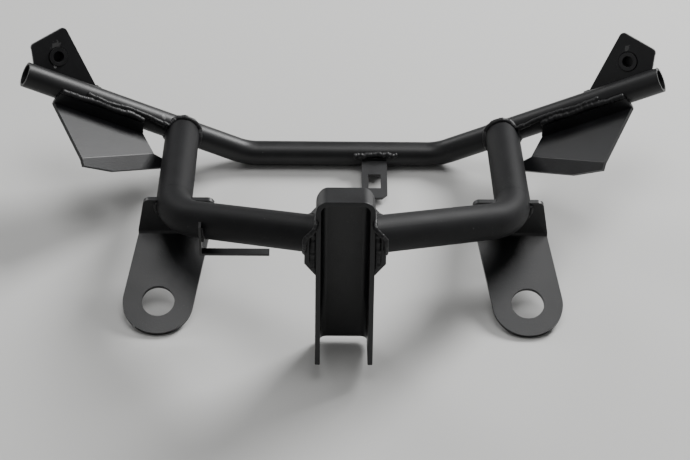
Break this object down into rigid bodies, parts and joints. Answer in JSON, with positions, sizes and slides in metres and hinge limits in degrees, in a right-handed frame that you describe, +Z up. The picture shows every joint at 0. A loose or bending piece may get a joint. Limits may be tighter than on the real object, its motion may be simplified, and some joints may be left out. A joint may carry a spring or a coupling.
{
  "type": "instrument bracket",
  "caption": "Welded tubular bracket with a folded neck channel, raised wing tube, fairing plates, mounting tabs and a cable hook, painted black.",
  "frame": {"origin": "on the ground, under the middle of the overall box", "axes": "+X across the bike along the cross tube, +Y from the folded neck towards the cross tube, +Z up"},
  "size_m": [0.4088, 0.2166, 0.1168],
  "materials": {
    "tube": "satin black paint",
    "sheet": "satin black paint, thinner at the edges",
    "weld": "satin black paint over rippled weld",
    "nut": "satin black paint, thread clean"
  },
  "bodies": {
    "root": {"cross_tube": "tube", "arm_tube_left": "tube", "arm_tube_right": "tube", "neck_channel": "sheet", "doubler_left": "sheet", "doubler_right": "sheet", "lower_plate_left": "sheet", "lower_plate_right": "sheet", "wing_plate_left": "sheet", "wing_plate_right": "sheet", "upper_tab_left": "sheet", "upper_tab_right": "sheet", "weld_nut_left": "nut", "weld_nut_right": "nut", "clip_tab": "sheet", "cable_hook": "sheet", "weld_arm_rear_left": "weld", "weld_arm_rear_right": "weld", "weld_neck_left": "weld", "weld_neck_right": "weld", "weld_doubler_left": "weld", "weld_doubler_right": "weld", "weld_wing_left": "weld", "weld_wing_right": "weld", "weld_tab_left": "weld", "weld_tab_right": "weld", "weld_lower_left": "weld", "weld_lower_right": "weld", "weld_clip": "weld", "weld_hook": "weld"}
  },
  "joints": []
}
